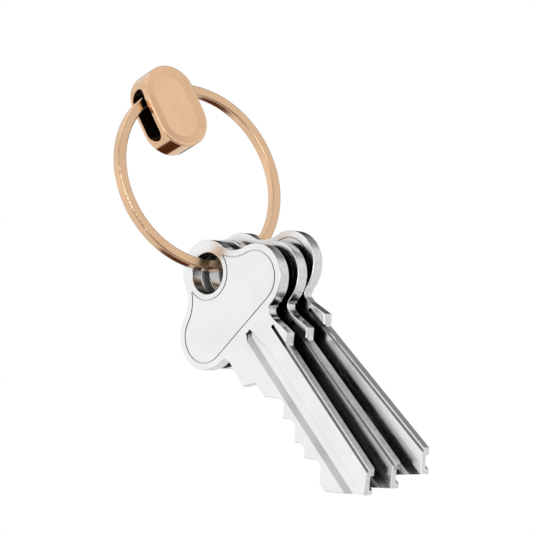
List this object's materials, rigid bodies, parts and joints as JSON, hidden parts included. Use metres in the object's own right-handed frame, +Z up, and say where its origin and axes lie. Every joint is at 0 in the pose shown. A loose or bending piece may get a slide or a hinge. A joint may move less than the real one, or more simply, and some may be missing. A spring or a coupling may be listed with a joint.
{
  "type": "split key ring",
  "caption": "Square-wire key ring with a pill-shaped slider over its split and a few flat cylinder keys hanging from it.",
  "frame": {"origin": "centre of the wire loop, in the space a hook or finger passes through", "axes": "+Z up with the key blades hanging straight down, +X level in the plane of the loop, -Y towards the front; the loop's top leans 26.1 degrees towards -Y"},
  "size_m": [0.035, 0.0319, 0.0884],
  "materials": {
    "satin_rose_gold": "stainless steel wire with a satin rose-gold coating, finely brushed",
    "polished_rose_gold": "steel slider with a rose-gold coating, matt face, polished sides",
    "nickel_plate": "nickel-plated brass, bright and lightly worn"
  },
  "bodies": {
    "ring": {"ring_wire": "satin_rose_gold"},
    "slider": {"slider": "polished_rose_gold"},
    "key_front": {"key_front": "nickel_plate"},
    "key_middle": {"key_middle": "nickel_plate"},
    "key_back": {"key_back": "nickel_plate"}
  },
  "joints": [
    {"name": "slider_slide_round", "type": "hinge", "parent": "ring", "child": "slider", "pos_m": [0, 0, 0], "axis": [0, -0.898, -0.4399], "range_deg": [-50, 50]},
    {"name": "key_front_swing", "type": "hinge", "parent": "ring", "child": "key_front", "pos_m": [-0.00351, 0.00714, -0.01457], "axis": [0.9744, 0.225, 0], "range_deg": [-110, 110]},
    {"name": "key_middle_swing", "type": "hinge", "parent": "ring", "child": "key_middle", "pos_m": [0.00038, 0.0073, -0.0149], "axis": [0.9744, 0.225, 0], "range_deg": [-110, 110]},
    {"name": "key_back_swing", "type": "hinge", "parent": "ring", "child": "key_back", "pos_m": [0.00424, 0.00706, -0.01441], "axis": [0.9744, 0.225, 0], "range_deg": [-110, 110]}
  ]
}
